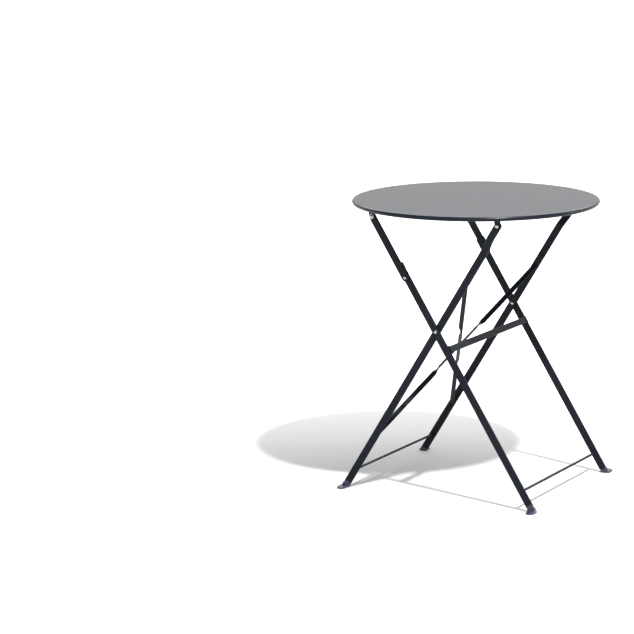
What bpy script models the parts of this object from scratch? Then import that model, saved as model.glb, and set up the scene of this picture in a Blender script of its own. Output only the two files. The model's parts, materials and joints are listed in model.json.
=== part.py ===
"""Folding bistro table: a round sheet steel top on two crossed leg frames, locked open by two knee links.

The origin is on the floor under the middle of the top. X is the way the legs open, Y is the way the
pivots point, and the front is at -Y. The outer leg frame leans to -X at its top and the inner one to +X.
"""

import math

import bmesh
import bpy
from mathutils import Matrix, Vector

# Driving dimensions, in metres
TOP_RADIUS = 0.300
TOP_HEIGHT = 0.703
SHEET = 0.0012
BEAD_RADIUS = 0.0055
BEAD_SWEEP = math.radians(290)
TOP_STEPS = 72
BEAD_OUTER_STEPS = 9
BEAD_INNER_STEPS = 7

HINGE_X = 0.1665
HINGE_Z = 0.6775
CROSS_Z = 0.411
CLEARANCE = 0.0003

BAR_WIDTH = 0.018
BAR_THICK = 0.005
BAR_CHAMFER = 0.0008
ROUND_END = 0.0089
ROUND_CORNER = 0.003
CORNER_SEGMENTS = 5

# Distances from the table's middle plane to the middle of each layer of bars
INNER_LEG_Y = 0.2035
LAYER_STEP = 0.0062
OUTER_LEG_Y = INNER_LEG_Y + LAYER_STEP
LINK_Y = OUTER_LEG_Y + LAYER_STEP

# Above the outer legs' reach, the inner legs step out to the links' layer
JOGGLE_START = 0.238
JOGGLE_LENGTH = 0.042
JOGGLE_STEPS = 6

RAIL_THICK = 0.0025
RAIL_HALF_WIDTH = 0.010
RAIL_BEND = 0.004
RAIL_BEND_STEPS = 4
EAR_TIP_HALF_WIDTH = 0.0085
EAR_TIP_ROUND = 0.0083
EAR_TIP_BELOW_HINGE = 0.0085
EAR_GAP = 0.0004

PIN_RADIUS = 0.0025
BORE_RADIUS = 0.0028
BORE_SIDES = 16
PIN_SIDES = 16
WASHER_SIDES = 20
WASHER_THICK = 0.0010
LEFT_WASHER_RADIUS = 0.0063
SPACER_THICK = 0.0006
SPACER_RADIUS = 0.0075
TAIL_RADIUS = 0.0042
TAIL_FACE_RADIUS = 0.0034
TAIL_HEIGHT = 0.0018
TAIL_CHAMFER = 0.00025
FLUSH_TAIL = 0.0005
# Radius and height of each rivet's head
LEFT_HEAD = (0.0047, 0.0026)
RIGHT_HEAD = (0.0047, 0.0024)
CROSS_HEAD = (0.0042, 0.0022)
KNEE_HEAD = (0.0040, 0.0020)
HEAD_STEPS = 3

LEG_OVERRUN = 0.040
LUG_LENGTH = 0.015
LUG_THICK = 0.0020
LUG_BELOW_END = 0.004
LEG_END = 0.4733

CROSSBAR_BELOW_CROSS = 0.0528
CROSSBAR_WIDTH = 0.016
CROSSBAR_THICK = 0.004
CROSSBAR_LIFT = 0.0095
ROD_RADIUS = 0.003
ROD_HEIGHT = 0.0473

STRAP_WIDTH = 0.012
STRAP_THICK = 0.003
# Heights at which each strap leaves its upper and its lower leg
STRAP_A_ENDS = (0.527, 0.136)
STRAP_B_ENDS = (0.516, 0.147)
STRAP_OFFSET = 0.0016
STRAP_TAB = 0.028
STRAP_TWIST_AT = 0.083
STRAP_TWIST_LENGTH = 0.030
STRAP_TWIST_STEPS = 6

SOLE_THICK = 0.0048
SOLE_TOE = 0.0115
SOLE_HEEL = 0.0095
SOLE_INWARD = 0.0045
SOLE_OUTWARD = 0.027
SOLE_ROUND = 0.0103
SOLE_INNER_ROUND = 0.008
TONGUE_HALF_WIDTH = 0.0075
TONGUE_THICK = 0.0022
TONGUE_LENGTH = 0.007
HEEL_BLOCK_DEPTH = 0.012
GROUND_CUT = 0.1

# Worked out from the driving dimensions
LEAN = math.atan2(HINGE_X, HINGE_Z - CROSS_Z)
CROSS_TO_HINGE = math.hypot(HINGE_X, HINGE_Z - CROSS_Z)
FLAT_FOLD_DIFFERENCE = 2 * HINGE_X - CROSS_TO_HINGE
CROSS_TO_KNEE = (CROSS_TO_HINGE - FLAT_FOLD_DIFFERENCE) / 2
FOOT_X = CROSS_Z * math.tan(LEAN)
RAIL_TOP_Z = TOP_HEIGHT - SHEET - CLEARANCE
HALF_BAR = BAR_THICK / 2
EAR_Y = LINK_Y + HALF_BAR + EAR_GAP + RAIL_THICK
EARS_TAIL = LINK_Y - HALF_BAR - CLEARANCE

OUTER = -1
INNER = 1
SIDES = {"front": -1, "back": 1}
SCREW_MERGE = 1e-6
CHAMFER_ANGLE = math.radians(50)
SMOOTH_ANGLE = math.radians(35)


def clear_scene():
    for thing in list(bpy.data.objects):
        bpy.data.objects.remove(thing)


def new_collection(name, hidden=False):
    collection = bpy.data.collections.new(name)
    collection.hide_render = hidden
    bpy.context.scene.collection.children.link(collection)
    return collection


def make_material(name, colour, roughness, metallic):
    material = bpy.data.materials.new(name)
    material.use_nodes = True
    surface = material.node_tree.nodes["Principled BSDF"]
    surface.inputs["Base Color"].default_value = (*colour, 1)
    surface.inputs["Roughness"].default_value = roughness
    surface.inputs["Metallic"].default_value = metallic
    return material


clear_scene()
PARTS = new_collection("bistro_table")
CUTTERS = new_collection("cutters", hidden=True)
TOP_PAINT = make_material("top_paint", (0.055, 0.060, 0.068), 0.35, 0.2)
FRAME_PAINT = make_material("frame_paint", (0.030, 0.035, 0.042), 0.45, 0.2)
ZINC = make_material("zinc_plate", (0.70, 0.71, 0.72), 0.28, 1.0)
NYLON = make_material("spacer_nylon", (0.75, 0.74, 0.70), 0.5, 0.0)
SHOE_PLASTIC = make_material("shoe_plastic", (0.16, 0.17, 0.22), 0.4, 0.0)


# Objects and modifiers


def add_part(name, data, material, matrix):
    part = bpy.data.objects.new(name, data)
    part.matrix_world = matrix
    PARTS.objects.link(part)
    data.materials.clear()
    data.materials.append(material)
    return part


def add_cutter(name, mesh, matrix):
    cutter = bpy.data.objects.new(name, mesh)
    cutter.matrix_world = matrix
    cutter.hide_render = True
    cutter.display_type = "WIRE"
    CUTTERS.objects.link(cutter)
    return cutter


def add_empty(name, x, z):
    empty = bpy.data.objects.new(name, None)
    empty.location = (x, 0, z)
    PARTS.objects.link(empty)
    return empty


def hang(parts, empty):
    """Parents the parts to the empty that marks their pivot's axis, and leaves them where they are."""
    for part in parts:
        part.parent = empty
        part.matrix_parent_inverse = Matrix.Translation(-empty.location)


def solidify(part, thickness, offset=0):
    modifier = part.modifiers.new("thickness", "SOLIDIFY")
    modifier.thickness = thickness
    modifier.offset = offset


def chamfer(part, width):
    modifier = part.modifiers.new("chamfer", "BEVEL")
    modifier.width = width
    modifier.segments = 1
    modifier.limit_method = "ANGLE"
    modifier.angle_limit = CHAMFER_ANGLE


def combine(part, other, operation):
    modifier = part.modifiers.new(other.name, "BOOLEAN")
    modifier.operation = operation
    modifier.solver = "EXACT"
    modifier.object = other


def spin(part, steps):
    """Turns the part's profile once about its local Z axis."""
    modifier = part.modifiers.new("turn", "SCREW")
    modifier.steps = steps
    modifier.render_steps = steps
    modifier.use_merge_vertices = True
    modifier.merge_threshold = SCREW_MERGE


def mesh_from(bm, name):
    mesh = bpy.data.meshes.new(name)
    bm.to_mesh(mesh)
    bm.free()
    return mesh


def round_off(mesh):
    mesh.shade_smooth()
    mesh.set_sharp_from_angle(angle=SMOOTH_ANGLE)
    return mesh


def settled_mesh(part, name):
    """The part's mesh after its modifiers, in world space. The part and its helpers are then removed."""
    bpy.context.view_layer.update()
    graph = bpy.context.evaluated_depsgraph_get()
    mesh = bpy.data.meshes.new_from_object(part.evaluated_get(graph))
    mesh.transform(part.matrix_world)
    mesh.name = name
    helpers = [m.object for m in part.modifiers if m.type == "BOOLEAN"]
    for thing in [part, *helpers]:
        bpy.data.objects.remove(thing)
    return round_off(mesh)


# Frames of reference


def leg_frame(leg):
    """Local X runs up the leg from the cross pivot, local Y across its width, local Z along +Y."""
    sine = leg * math.sin(LEAN)
    cosine = math.cos(LEAN)
    return Matrix(
        (
            (sine, cosine, 0, 0),
            (0, 0, 1, 0),
            (cosine, -sine, 0, CROSS_Z),
            (0, 0, 0, 1),
        )
    )


def pivot_frame(x, z, side):
    """Local Z points outwards along the pivot's axis, and is 0 at the table's middle plane."""
    return Matrix(((1, 0, 0, x), (0, 0, side, 0), (0, -side, 0, z), (0, 0, 0, 1)))


def along_leg(height):
    """How far up a leg from the cross pivot its axis reaches this height."""
    return (height - CROSS_Z) / math.cos(LEAN)


def ease(share):
    """Runs from 0 to 1 with no slope at either end."""
    return share * share * (3 - 2 * share)


# Basic shapes


def rounded_sheet(name, low, high, low_round, high_round):
    """A flat sheet from the corner low to the corner high, with its two ends rounded in plan."""
    size = Vector(high) - Vector(low)
    middle = (Vector(high) + Vector(low)) / 2
    bm = bmesh.new()
    bmesh.ops.create_grid(bm, x_segments=1, y_segments=1, size=0.5)
    bmesh.ops.scale(bm, vec=(size.x, size.y, 1), verts=bm.verts)
    for start, radius in ((True, low_round), (False, high_round)):
        corners = [v for v in bm.verts if (v.co.x < 0) == start]
        bmesh.ops.bevel(
            bm,
            geom=corners,
            offset=radius,
            segments=CORNER_SEGMENTS,
            profile=0.5,
            affect="VERTICES",
        )
    bmesh.ops.translate(bm, vec=(middle.x, middle.y, 0), verts=bm.verts)
    return mesh_from(bm, name)


def box_mesh(name, low, high):
    size = Vector(high) - Vector(low)
    bm = bmesh.new()
    bmesh.ops.create_cube(bm, size=1)
    bmesh.ops.scale(bm, vec=size, verts=bm.verts)
    bmesh.ops.translate(bm, vec=(Vector(low) + Vector(high)) / 2, verts=bm.verts)
    return mesh_from(bm, name)


def profile_mesh(name, points, closed=False):
    """A chain of edges in the XZ plane, from (radius, height) pairs."""
    bm = bmesh.new()
    chain = [bm.verts.new((radius, 0, height)) for radius, height in points]
    for first, second in zip(chain, chain[1:]):
        bm.edges.new((first, second))
    if closed:
        bm.edges.new((chain[-1], chain[0]))
    return round_off(mesh_from(bm, name))


def arc(middle, radius, start, end, steps):
    """Points on a circle about (radius, height) middle, from the angle start to the angle end."""
    turns = [start + (end - start) * i / steps for i in range(steps + 1)]
    return [(middle[0] + radius * math.cos(t), middle[1] + radius * math.sin(t)) for t in turns]


def bar(name, frame, y, low, high, rounds, width=BAR_WIDTH, thickness=BAR_THICK):
    """A flat bar in a leg's frame, from low to high along the leg, at y."""
    half = width / 2
    sheet = rounded_sheet(name, (low, -half, 0), (high, half, 0), *rounds)
    part = add_part(name, sheet, FRAME_PAINT, frame @ Matrix.Translation((0, 0, y)))
    solidify(part, thickness)
    chamfer(part, BAR_CHAMFER)
    return part


def rod(name, x, z, half_length):
    curve = bpy.data.curves.new(name, "CURVE")
    curve.dimensions = "3D"
    curve.bevel_depth = ROD_RADIUS
    curve.bevel_resolution = 2
    curve.use_fill_caps = True
    line = curve.splines.new("POLY")
    line.points.add(1)
    line.points[0].co = (0, -half_length, 0, 1)
    line.points[1].co = (0, half_length, 0, 1)
    return add_part(name, curve, FRAME_PAINT, Matrix.Translation((x, 0, z)))


# Holes on the pivots' axes


def bore(name, x, z):
    bm = bmesh.new()
    bmesh.ops.create_cone(
        bm,
        cap_ends=True,
        segments=BORE_SIDES,
        radius1=BORE_RADIUS,
        radius2=BORE_RADIUS,
        depth=2 * TOP_RADIUS,
    )
    return add_cutter(name, mesh_from(bm, name), pivot_frame(x, z, 1))


LEFT_BORE = bore("left_bore", -HINGE_X, HINGE_Z)
RIGHT_BORE = bore("right_bore", HINGE_X, HINGE_Z)
CROSS_BORE = bore("cross_bore", 0, CROSS_Z)
KNEE_POINT = leg_frame(OUTER) @ Vector((CROSS_TO_KNEE, 0, 0))
KNEE_BORE = bore("knee_bore", KNEE_POINT.x, KNEE_POINT.z)


# The top


def build_top():
    """The sheet, its edge rolled under into an open bead."""
    middle = (TOP_RADIUS - BEAD_RADIUS, TOP_HEIGHT - BEAD_RADIUS)
    start = math.pi / 2
    end = start - BEAD_SWEEP
    outside = arc(middle, BEAD_RADIUS, start, end, BEAD_OUTER_STEPS)
    inside = arc(middle, BEAD_RADIUS - SHEET, end, start, BEAD_INNER_STEPS)
    profile = [(0, TOP_HEIGHT), *outside, *inside, (0, TOP_HEIGHT - SHEET)]
    top = add_part("table_top", profile_mesh("table_top", profile), TOP_PAINT, Matrix())
    spin(top, TOP_STEPS)
    return top


def rail_path():
    """Half of the rail's path in the YZ plane, on its outer face: up the ear and round the bend."""
    tip = (EAR_Y, HINGE_Z - EAR_TIP_BELOW_HINGE)
    bend = arc((EAR_Y - RAIL_BEND, RAIL_TOP_Z - RAIL_BEND), RAIL_BEND, 0, math.pi / 2, RAIL_BEND_STEPS)
    return [tip, *bend]


def build_rail(name, x, hole):
    """A strip under the top whose ends turn down as ears, outside the links or the inner legs."""
    half = rail_path()
    path = half + [(-y, z) for y, z in reversed(half)]
    bm = bmesh.new()
    rim = None
    for index, (y, z) in enumerate(path):
        width = EAR_TIP_HALF_WIDTH if index in (0, len(path) - 1) else RAIL_HALF_WIDTH
        if rim is None:
            rim = bm.edges.new([bm.verts.new((-width, y, z)), bm.verts.new((width, y, z))])
            continue
        grown = bmesh.ops.extrude_edge_only(bm, edges=[rim])["geom"]
        rim = next(g for g in grown if isinstance(g, bmesh.types.BMEdge))
        for vertex in rim.verts:
            vertex.co = (math.copysign(width, vertex.co.x), y, z)
    tips = [v for v in bm.verts if v.co.z < HINGE_Z]
    bmesh.ops.bevel(
        bm,
        geom=tips,
        offset=EAR_TIP_ROUND,
        segments=CORNER_SEGMENTS,
        profile=0.5,
        affect="VERTICES",
    )
    bmesh.ops.recalc_face_normals(bm, faces=bm.faces)
    upward = sum(f.normal.z * f.calc_area() for f in bm.faces) > 0
    rail = add_part(name, mesh_from(bm, name), FRAME_PAINT, Matrix.Translation((x, 0, 0)))
    solidify(rail, RAIL_THICK, offset=-1 if upward else 1)
    combine(rail, hole, "DIFFERENCE")
    return rail


# Rivets and washers, as profiles about a pivot's axis with heights as distances from the middle plane


def dome(head, base):
    """From the crown of a rivet's head down to its rim, where the head stands upright a little."""
    radius, height = head
    rim = height / 4
    turns = [math.pi / 2 * i / HEAD_STEPS for i in range(HEAD_STEPS + 1)]
    curve = [(radius * math.sin(t), base + rim + (height - rim) * math.cos(t)) for t in turns]
    return [*curve, (radius, base)]


def rivet_mesh(name, head, under_head, over_tail):
    foot = over_tail - TAIL_HEIGHT
    points = dome(head, under_head)
    points += [(PIN_RADIUS, under_head), (PIN_RADIUS, over_tail), (TAIL_RADIUS, over_tail)]
    points += [(TAIL_RADIUS, foot + TAIL_CHAMFER), (TAIL_FACE_RADIUS, foot), (0, foot)]
    return profile_mesh(name, points)


def ring_mesh(name, outer, low, high):
    points = [(outer, high), (outer, low), (BORE_RADIUS, low), (BORE_RADIUS, high)]
    return profile_mesh(name, points, closed=True)


def turned_pair(name, mesh, material, x, z, steps=PIN_SIDES):
    """The same turned piece at the front and at the back of one pivot."""
    pair = []
    for label, side in SIDES.items():
        part = add_part(f"{name}_{label}", mesh, material, pivot_frame(x, z, side))
        spin(part, steps)
        pair.append(part)
    return pair


def build_left_fasteners():
    """A rivet through each ear and link, with a washer under its head."""
    washer_low = EAR_Y + CLEARANCE
    washer_high = washer_low + WASHER_THICK
    rivet = rivet_mesh("left_rivet", LEFT_HEAD, washer_high + CLEARANCE, EARS_TAIL)
    washer = ring_mesh("left_washer", LEFT_WASHER_RADIUS, washer_low, washer_high)
    parts = turned_pair("left_rivet", rivet, ZINC, -HINGE_X, HINGE_Z)
    return parts + turned_pair("left_washer", washer, ZINC, -HINGE_X, HINGE_Z, WASHER_SIDES)


def build_right_fasteners():
    rivet = rivet_mesh("right_rivet", RIGHT_HEAD, EAR_Y + CLEARANCE, EARS_TAIL)
    return turned_pair("right_rivet", rivet, ZINC, HINGE_X, HINGE_Z)


def build_cross_fasteners():
    """A rivet through each outer and inner leg where they cross, with a spacer between the two."""
    head = OUTER_LEG_Y + HALF_BAR + CLEARANCE
    tail = INNER_LEG_Y - HALF_BAR - CLEARANCE
    rivet = rivet_mesh("cross_rivet", CROSS_HEAD, head, tail)
    low = INNER_LEG_Y + HALF_BAR + CLEARANCE
    spacer = ring_mesh("cross_spacer", SPACER_RADIUS, low, low + SPACER_THICK)
    parts = turned_pair("cross_rivet", rivet, ZINC, 0, CROSS_Z)
    return parts + turned_pair("cross_spacer", spacer, NYLON, 0, CROSS_Z, WASHER_SIDES)


def build_knee_fasteners():
    """The knee rivet is in two pieces: its head and shank stay with the link, its flush tail with the leg."""
    head = LINK_Y + HALF_BAR + CLEARANCE
    shank_end = OUTER_LEG_Y + HALF_BAR + CLEARANCE
    head_points = dome(KNEE_HEAD, head)
    head_points += [(PIN_RADIUS, head), (PIN_RADIUS, shank_end), (0, shank_end)]
    tail_top = OUTER_LEG_Y + HALF_BAR - CLEARANCE
    tail_rim = OUTER_LEG_Y - HALF_BAR - CLEARANCE
    tail_points = [(0, tail_top), (PIN_RADIUS, tail_top), (PIN_RADIUS, tail_rim)]
    tail_points += [(TAIL_RADIUS, tail_rim), (TAIL_RADIUS, tail_rim - FLUSH_TAIL), (0, tail_rim - FLUSH_TAIL)]
    low = OUTER_LEG_Y + HALF_BAR + CLEARANCE
    spacer = ring_mesh("knee_spacer", SPACER_RADIUS, low, low + SPACER_THICK)
    place = (KNEE_POINT.x, KNEE_POINT.z)
    heads = turned_pair("knee_rivet", profile_mesh("knee_rivet", head_points), ZINC, *place)
    spacers = turned_pair("knee_spacer", spacer, NYLON, *place, WASHER_SIDES)
    tails = turned_pair("knee_rivet_tail", profile_mesh("knee_rivet_tail", tail_points), ZINC, *place)
    return heads + spacers, tails


# The leg frames


def joggle(part, side):
    """Steps a leg's sheet outwards between two stations, so that its top is in line with the links."""
    bm = bmesh.new()
    bm.from_mesh(part.data)
    for step in range(JOGGLE_STEPS + 1):
        station = JOGGLE_START + JOGGLE_LENGTH * step / JOGGLE_STEPS
        geometry = [*bm.verts, *bm.edges, *bm.faces]
        bmesh.ops.bisect_plane(bm, geom=geometry, plane_co=(station, 0, 0), plane_no=(1, 0, 0))
    for vertex in bm.verts:
        share = min(max((vertex.co.x - JOGGLE_START) / JOGGLE_LENGTH, 0), 1)
        vertex.co.z += side * (LINK_Y - INNER_LEG_Y) * ease(share)
    bm.to_mesh(part.data)
    bm.free()
    part.modifiers["thickness"].use_even_offset = True


def build_inner_legs():
    frame = leg_frame(INNER)
    legs = []
    for label, side in SIDES.items():
        leg = bar(
            f"inner_leg_{label}",
            frame,
            side * INNER_LEG_Y,
            -LEG_END,
            CROSS_TO_HINGE + BAR_WIDTH / 2,
            (ROUND_CORNER, ROUND_END),
        )
        joggle(leg, side)
        combine(leg, CROSS_BORE, "DIFFERENCE")
        combine(leg, RIGHT_BORE, "DIFFERENCE")
        legs.append(leg)
    return legs


def lug_mesh(name, side):
    """An angle on the leg's upper edge, whose free flange reaches over the link's edge."""
    edge = BAR_WIDTH / 2
    root = OUTER_LEG_Y
    shoulder = OUTER_LEG_Y + HALF_BAR - BAR_CHAMFER / 2
    reach = LINK_Y + HALF_BAR - BAR_CHAMFER
    outline = [
        (edge - LUG_THICK / 2, root),
        (edge - LUG_THICK / 2, shoulder),
        (edge + CLEARANCE, shoulder),
        (edge + CLEARANCE, reach),
        (edge + CLEARANCE + LUG_THICK, reach),
        (edge + CLEARANCE + LUG_THICK, root),
    ]
    high = CROSS_TO_KNEE + LEG_OVERRUN - LUG_BELOW_END
    bm = bmesh.new()
    corners = [bm.verts.new((high - LUG_LENGTH, n, side * y)) for n, y in outline]
    face = bm.faces.new(corners)
    walls = bmesh.ops.extrude_face_region(bm, geom=[face])["geom"]
    moved = [g for g in walls if isinstance(g, bmesh.types.BMVert)]
    bmesh.ops.translate(bm, vec=(LUG_LENGTH, 0, 0), verts=moved)
    bmesh.ops.recalc_face_normals(bm, faces=bm.faces)
    return mesh_from(bm, name)


def build_outer_legs():
    frame = leg_frame(OUTER)
    legs = []
    for label, side in SIDES.items():
        leg = bar(
            f"outer_leg_{label}",
            frame,
            side * OUTER_LEG_Y,
            -LEG_END,
            CROSS_TO_KNEE + LEG_OVERRUN,
            (ROUND_CORNER, ROUND_END),
        )
        combine(leg, add_cutter(f"lug_{label}", lug_mesh(f"lug_{label}", side), frame), "UNION")
        combine(leg, CROSS_BORE, "DIFFERENCE")
        combine(leg, KNEE_BORE, "DIFFERENCE")
        legs.append(leg)
    return legs


def build_links():
    """Each knee link lies along the outer leg and carries on from its knee to the top's left hinge."""
    frame = leg_frame(OUTER)
    links = []
    for label, side in SIDES.items():
        link = bar(
            f"knee_link_{label}",
            frame,
            side * LINK_Y,
            CROSS_TO_KNEE - BAR_WIDTH / 2,
            CROSS_TO_HINGE + BAR_WIDTH / 2,
            (ROUND_END, ROUND_END),
        )
        combine(link, KNEE_BORE, "DIFFERENCE")
        combine(link, LEFT_BORE, "DIFFERENCE")
        links.append(link)
    return links


def build_crossbar():
    """A flat bar between the inner faces of the two outer legs, near their upper edges."""
    turn = Matrix(((0, 1, 0, -CROSSBAR_BELOW_CROSS), (0, 0, 1, CROSSBAR_LIFT), (1, 0, 0, 0), (0, 0, 0, 1)))
    half = OUTER_LEG_Y - HALF_BAR - CLEARANCE
    return bar(
        "outer_crossbar",
        leg_frame(OUTER) @ turn,
        0,
        -half,
        half,
        (ROUND_CORNER / 2, ROUND_CORNER / 2),
        CROSSBAR_WIDTH,
        CROSSBAR_THICK,
    )


def build_foot_rod(name, leg, leg_y):
    x = (leg_frame(leg) @ Vector((along_leg(ROD_HEIGHT), 0, 0))).x
    return rod(name, x, ROD_HEIGHT, leg_y - HALF_BAR - CLEARANCE)


# The inner frame's crossed straps


def strap_path(ends, level):
    """(distance up the leg, distance across, distance off the straps' plane, twist) from tab to tab.

    The strap stands on edge at its two ends, where tabs lie on the legs' inner faces. Its middle is twisted
    a quarter turn, to lie flat over the other strap.
    """
    across = INNER_LEG_Y - HALF_BAR - CLEARANCE - STRAP_THICK / 2
    start = Vector((along_leg(ends[0]), -across))
    end = Vector((along_leg(ends[1]), across))
    middle = (start + end) / 2
    direction = (end - start).normalized()
    tab = Vector((STRAP_TAB, 0))
    path = [(*(start + tab), 0, 0), (*start, 0, 0)]
    for way in (-1, 1):
        for step in range(STRAP_TWIST_STEPS + 1):
            share = step / STRAP_TWIST_STEPS
            turned = share if way < 0 else 1 - share
            place = way * (STRAP_TWIST_AT + STRAP_TWIST_LENGTH * (0.5 - turned))
            path.append((*(middle + direction * place), level * ease(turned), math.pi / 2 * ease(turned)))
    return path + [(*end, 0, 0), (*(end - tab), 0, 0)]


def build_strap(name, ends, level, mirror):
    curve = bpy.data.curves.new(name, "CURVE")
    curve.dimensions = "3D"
    curve.twist_mode = "Z_UP"
    curve.extrude = (STRAP_WIDTH - STRAP_THICK) / 2
    curve.bevel_depth = STRAP_THICK / 2
    curve.bevel_resolution = 1
    curve.use_fill_caps = True
    line = curve.splines.new("POLY")
    path = strap_path(ends, level)
    line.points.add(len(path) - 1)
    for point, (along, across, off, twist) in zip(line.points, path):
        point.co = (along, mirror * across, off, 1)
        point.tilt = twist
    frame = leg_frame(INNER) @ Matrix(((1, 0, 0, 0), (0, 0, -1, STRAP_OFFSET), (0, 1, 0, 0), (0, 0, 0, 1)))
    return add_part(name, curve, FRAME_PAINT, frame)


def build_straps():
    level = (STRAP_THICK + CLEARANCE) / 2
    build_strap("brace_strap_a", STRAP_A_ENDS, -level, 1)
    build_strap("brace_strap_b", STRAP_B_ENDS, level, -1)


# The shoes


def shoe_mesh(outward):
    """A pad whose toe is at +X and which reaches outwards in Y, a heel under the leg's end, and a tongue.

    The tongue lies on the leg's outer face.
    """
    right, left = (SOLE_TOE, SOLE_HEEL) if outward > 0 else (SOLE_HEEL, SOLE_TOE)
    low_corner = (-SOLE_INWARD, -right, 0)
    high_corner = (SOLE_OUTWARD, left, 0)
    sole = rounded_sheet("sole", low_corner, high_corner, SOLE_INNER_ROUND, SOLE_ROUND)
    turn = Matrix.Translation((0, 0, SOLE_THICK / 2)) @ Matrix.Rotation(outward * math.pi / 2, 4, "Z")
    shoe = add_part("shoe", sole, SHOE_PLASTIC, turn)
    solidify(shoe, SOLE_THICK)
    chamfer(shoe, BAR_CHAMFER)
    leg = Matrix.Translation((-FOOT_X, 0, 0)) @ leg_frame(OUTER)
    low = -LEG_END - HEEL_BLOCK_DEPTH
    inner = outward * (-SOLE_INWARD + BAR_CHAMFER)
    face = outward * (HALF_BAR + CLEARANCE)
    skin = outward * (HALF_BAR + CLEARANCE + TONGUE_THICK)
    width = BAR_WIDTH / 2
    heel = box_mesh("heel", (low, -width, min(inner, skin)), (-LEG_END - CLEARANCE, width, max(inner, skin)))
    tongue = box_mesh(
        "tongue",
        (low, -TONGUE_HALF_WIDTH, min(face, skin)),
        (-LEG_END + TONGUE_LENGTH, TONGUE_HALF_WIDTH, max(face, skin)),
    )
    ground = box_mesh("ground", (-GROUND_CUT, -GROUND_CUT, -GROUND_CUT), (GROUND_CUT, GROUND_CUT, 0))
    combine(shoe, add_cutter("heel", heel, leg), "UNION")
    combine(shoe, add_cutter("tongue", tongue, leg), "UNION")
    combine(shoe, add_cutter("ground", ground, Matrix()), "DIFFERENCE")
    return settled_mesh(shoe, "shoe")


def build_shoes(name, meshes, leg, leg_y):
    """The outer frame's feet are at +X and the inner frame's at -X, each with its toe pointing out."""
    turn = Matrix.Rotation(0 if leg == OUTER else math.pi, 4, "Z")
    shoes = []
    for label, side in SIDES.items():
        place = Matrix.Translation((-leg * FOOT_X, side * leg_y, 0)) @ turn
        shoes.append(add_part(f"{name}_{label}", meshes[-leg * side], SHOE_PLASTIC, place))
    return shoes


def build_table():
    cross_axis = add_empty("cross_axis", 0, CROSS_Z)
    right_axis = add_empty("right_axis", HINGE_X, HINGE_Z)
    left_axis = add_empty("left_axis", -HINGE_X, HINGE_Z)

    build_inner_legs()
    build_straps()
    build_foot_rod("inner_foot_rod", INNER, INNER_LEG_Y)
    build_cross_fasteners()

    top = [
        build_top(),
        build_rail("hinge_rail_left", -HINGE_X, LEFT_BORE),
        build_rail("hinge_rail_right", HINGE_X, RIGHT_BORE),
        *build_left_fasteners(),
        *build_right_fasteners(),
    ]
    hang(top, right_axis)

    knee_heads, knee_tails = build_knee_fasteners()
    hang([*build_links(), *knee_heads], left_axis)

    shoes = {side: shoe_mesh(side) for side in SIDES.values()}
    build_shoes("inner_shoe", shoes, INNER, INNER_LEG_Y)
    outer = [
        *build_outer_legs(),
        build_crossbar(),
        build_foot_rod("outer_foot_rod", OUTER, OUTER_LEG_Y),
        *build_shoes("outer_shoe", shoes, OUTER, OUTER_LEG_Y),
        *knee_tails,
    ]
    hang(outer, cross_axis)


build_table()
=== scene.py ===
"""Looks of the folding bistro table: fine meshes and painted, plated and moulded finishes."""

import json
import math

import bmesh
import bpy
import numpy as np
from mathutils import Matrix, Vector, noise


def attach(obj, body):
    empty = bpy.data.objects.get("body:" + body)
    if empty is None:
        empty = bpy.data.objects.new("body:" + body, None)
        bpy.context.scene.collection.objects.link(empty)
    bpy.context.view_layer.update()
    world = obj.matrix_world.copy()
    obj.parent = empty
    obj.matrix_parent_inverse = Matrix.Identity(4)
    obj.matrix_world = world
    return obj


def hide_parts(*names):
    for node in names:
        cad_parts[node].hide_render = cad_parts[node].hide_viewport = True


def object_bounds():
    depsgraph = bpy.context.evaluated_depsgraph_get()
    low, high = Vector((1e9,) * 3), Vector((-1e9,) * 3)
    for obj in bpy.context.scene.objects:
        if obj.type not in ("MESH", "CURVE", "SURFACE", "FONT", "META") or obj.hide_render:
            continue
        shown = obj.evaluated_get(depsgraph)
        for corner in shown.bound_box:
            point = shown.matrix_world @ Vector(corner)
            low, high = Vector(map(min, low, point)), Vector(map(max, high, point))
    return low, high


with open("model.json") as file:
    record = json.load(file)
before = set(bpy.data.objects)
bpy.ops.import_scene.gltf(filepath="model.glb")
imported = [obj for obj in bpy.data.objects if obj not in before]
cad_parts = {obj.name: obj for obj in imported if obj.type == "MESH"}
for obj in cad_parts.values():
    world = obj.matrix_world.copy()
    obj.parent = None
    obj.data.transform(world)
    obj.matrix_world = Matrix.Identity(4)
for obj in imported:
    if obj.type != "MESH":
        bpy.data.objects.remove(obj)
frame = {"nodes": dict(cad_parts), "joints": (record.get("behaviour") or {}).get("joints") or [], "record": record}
CAD_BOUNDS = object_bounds()

RECORD = frame["record"]
NODES = frame["nodes"]
BODY_OF = {node: body for body, nodes in RECORD["behaviour"]["bodies"].items() for node in nodes}
SLOT_OF = {part["node"]: part["material_slot"] for part in RECORD["subparts"]}
PIVOTS = {joint["name"]: Vector(joint["pos_m"]) for joint in frame["joints"]}
SIDES = {"front": -1, "back": 1}
OUTWARD = Vector((0, 1, 0))
ROW_FRAME = Matrix.Identity(4)

# Lengths are in metres and angles in degrees, unless a name says otherwise.

# Bars and plates
BAR_EDGE = 0.0011
CROSSBAR_EDGE = 0.0007
CROSSBAR_CORNER = 0.0012
ROUND_END = 0.0089
ROUND_CORNER = 0.003
CORNER_STEPS = 14
EDGE_STEPS = 4
HOLE_RADIUS = 0.0028
HOLE_STEPS = 32
HOLE_EDGE = 0.0003
SHARP_ANGLE = 40

# The sheet and its rolled edge
TOP_STEPS = 288
BEAD_SWEEP = math.radians(290)
BEAD_OUTER_STEPS = 40
BEAD_INNER_STEPS = 28
SHEET_RINGS = (0.35, 0.7, 0.9, 0.965)

# The inner legs' step outwards, the same as in the CAD
JOGGLE_START = 0.238
JOGGLE_LENGTH = 0.042
JOGGLE_STATIONS = 24

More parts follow.
